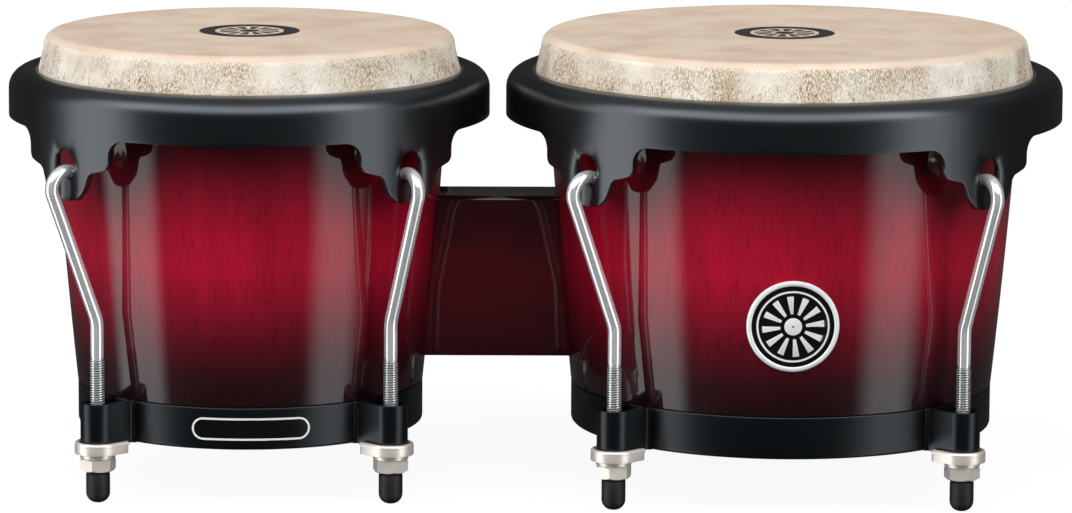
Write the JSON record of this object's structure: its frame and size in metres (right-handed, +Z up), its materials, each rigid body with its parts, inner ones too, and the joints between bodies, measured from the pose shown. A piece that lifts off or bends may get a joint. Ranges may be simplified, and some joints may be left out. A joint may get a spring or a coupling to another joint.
{
  "type": "pair of bongo drums",
  "caption": "Pair of tapered wooden hand drums joined by a block; rawhide heads under pressed steel rims, tuned by hook rods and nuts beneath.",
  "frame": {"origin": "on the floor under the middle of the instrument, half way between the outermost points of the two rims", "axes": "+X from the small drum to the large drum, -Y to the player's front where the badge is, +Z up along both drum axes"},
  "size_m": [0.4402, 0.2326, 0.1884],
  "materials": {
    "red_lacquered_wood": "clear gloss lacquer over red stained hardwood, burst to near black at both edges",
    "dark_lacquered_wood": "clear gloss lacquer over dark wine stained hardwood",
    "black_steel": "satin black powder coat on pressed steel",
    "plain_steel": "zinc plated steel",
    "chrome": "bright chrome plate",
    "nickel": "nickel plate, warm and slightly dull",
    "black_rubber": "moulded black rubber",
    "rawhide": "natural buffalo rawhide with hair left on the collar",
    "black_enamel": "gloss black enamel",
    "polished_aluminium": "polished bare edge",
    "label_foil": "black foil with a silver outline"
  },
  "bodies": {
    "root": {"macho_shell": "red_lacquered_wood", "hembra_shell": "red_lacquered_wood", "centre_block": "dark_lacquered_wood", "macho_bottom_ring": "black_steel", "hembra_bottom_ring": "black_steel", "macho_lugs": "black_steel", "hembra_lugs": "black_steel", "macho_head": "rawhide", "hembra_head": "rawhide", "macho_plate_washers": "nickel", "hembra_plate_washers": "nickel", "macho_thin_washers": "nickel", "hembra_thin_washers": "nickel", "upper_block_bolt": "plain_steel", "lower_block_bolt": "plain_steel", "block_bolt_washers": "plain_steel", "block_bolt_nuts": "plain_steel", "shell_badge": "black_enamel", "badge_bezel": "polished_aluminium", "ring_label": "label_foil"},
    "macho_rim_set": {"macho_rim": "black_steel", "macho_flesh_hoop": "plain_steel", "macho_rod_front_left": "chrome", "macho_rod_front_right": "chrome", "macho_rod_rear_right": "chrome", "macho_rod_rear_left": "chrome", "macho_cap_front_left": "black_rubber", "macho_cap_front_right": "black_rubber", "macho_cap_rear_right": "black_rubber", "macho_cap_rear_left": "black_rubber"},
    "hembra_rim_set": {"hembra_rim": "black_steel", "hembra_flesh_hoop": "plain_steel", "hembra_rod_front_left": "chrome", "hembra_rod_front_right": "chrome", "hembra_rod_rear_right": "chrome", "hembra_rod_rear_left": "chrome", "hembra_cap_front_left": "black_rubber", "hembra_cap_front_right": "black_rubber", "hembra_cap_rear_right": "black_rubber", "hembra_cap_rear_left": "black_rubber"},
    "macho_nut_front_left_body": {"macho_nut_front_left": "nickel"},
    "macho_nut_front_right_body": {"macho_nut_front_right": "nickel"},
    "macho_nut_rear_right_body": {"macho_nut_rear_right": "nickel"},
    "macho_nut_rear_left_body": {"macho_nut_rear_left": "nickel"},
    "hembra_nut_front_left_body": {"hembra_nut_front_left": "nickel"},
    "hembra_nut_front_right_body": {"hembra_nut_front_right": "nickel"},
    "hembra_nut_rear_right_body": {"hembra_nut_rear_right": "nickel"},
    "hembra_nut_rear_left_body": {"hembra_nut_rear_left": "nickel"}
  },
  "joints": [
    {"name": "macho_tuning", "type": "slide", "parent": "root", "child": "macho_rim_set", "axis": [0, 0, -1], "range_m": [-0.0004, 0.002]},
    {"name": "hembra_tuning", "type": "slide", "parent": "root", "child": "hembra_rim_set", "axis": [0, 0, -1], "range_m": [-0.0004, 0.002]},
    {"name": "macho_nut_front_left_turn", "type": "hinge", "parent": "root", "child": "macho_nut_front_left_body", "pos_m": [-0.18019, -0.06007, 0.01605], "axis": [0, 0, 1], "range_deg": [-148, 724]},
    {"name": "macho_nut_front_right_turn", "type": "hinge", "parent": "root", "child": "macho_nut_front_right_body", "pos_m": [-0.05962, -0.06049, 0.01605], "axis": [0, 0, 1], "range_deg": [-148, 724]},
    {"name": "macho_nut_rear_right_turn", "type": "hinge", "parent": "root", "child": "macho_nut_rear_right_body", "pos_m": [-0.0592, 0.06007, 0.01605], "axis": [0, 0, 1], "range_deg": [-148, 724]},
    {"name": "macho_nut_rear_left_turn", "type": "hinge", "parent": "root", "child": "macho_nut_rear_left_body", "pos_m": [-0.17976, 0.06049, 0.01605], "axis": [0, 0, 1], "range_deg": [-148, 724]},
    {"name": "hembra_nut_front_left_turn", "type": "hinge", "parent": "root", "child": "hembra_nut_front_left_body", "pos_m": [0.03206, -0.07126, 0.01605], "axis": [0, 0, 1], "range_deg": [-148, 724]},
    {"name": "hembra_nut_front_right_turn", "type": "hinge", "parent": "root", "child": "hembra_nut_front_right_body", "pos_m": [0.17508, -0.07176, 0.01605], "axis": [0, 0, 1], "range_deg": [-148, 724]},
    {"name": "hembra_nut_rear_right_turn", "type": "hinge", "parent": "root", "child": "hembra_nut_rear_right_body", "pos_m": [0.17557, 0.07126, 0.01605], "axis": [0, 0, 1], "range_deg": [-148, 724]},
    {"name": "hembra_nut_rear_left_turn", "type": "hinge", "parent": "root", "child": "hembra_nut_rear_left_body", "pos_m": [0.03256, 0.07176, 0.01605], "axis": [0, 0, 1], "range_deg": [-148, 724]}
  ],
  "couplings": [
    {"joint": "macho_nut_front_left_turn", "follows": "macho_tuning", "rad_per_m": 6283.2},
    {"joint": "macho_nut_front_right_turn", "follows": "macho_tuning", "rad_per_m": 6283.2},
    {"joint": "macho_nut_rear_right_turn", "follows": "macho_tuning", "rad_per_m": 6283.2},
    {"joint": "macho_nut_rear_left_turn", "follows": "macho_tuning", "rad_per_m": 6283.2},
    {"joint": "hembra_nut_front_left_turn", "follows": "hembra_tuning", "rad_per_m": 6283.2},
    {"joint": "hembra_nut_front_right_turn", "follows": "hembra_tuning", "rad_per_m": 6283.2},
    {"joint": "hembra_nut_rear_right_turn", "follows": "hembra_tuning", "rad_per_m": 6283.2},
    {"joint": "hembra_nut_rear_left_turn", "follows": "hembra_tuning", "rad_per_m": 6283.2}
  ]
}
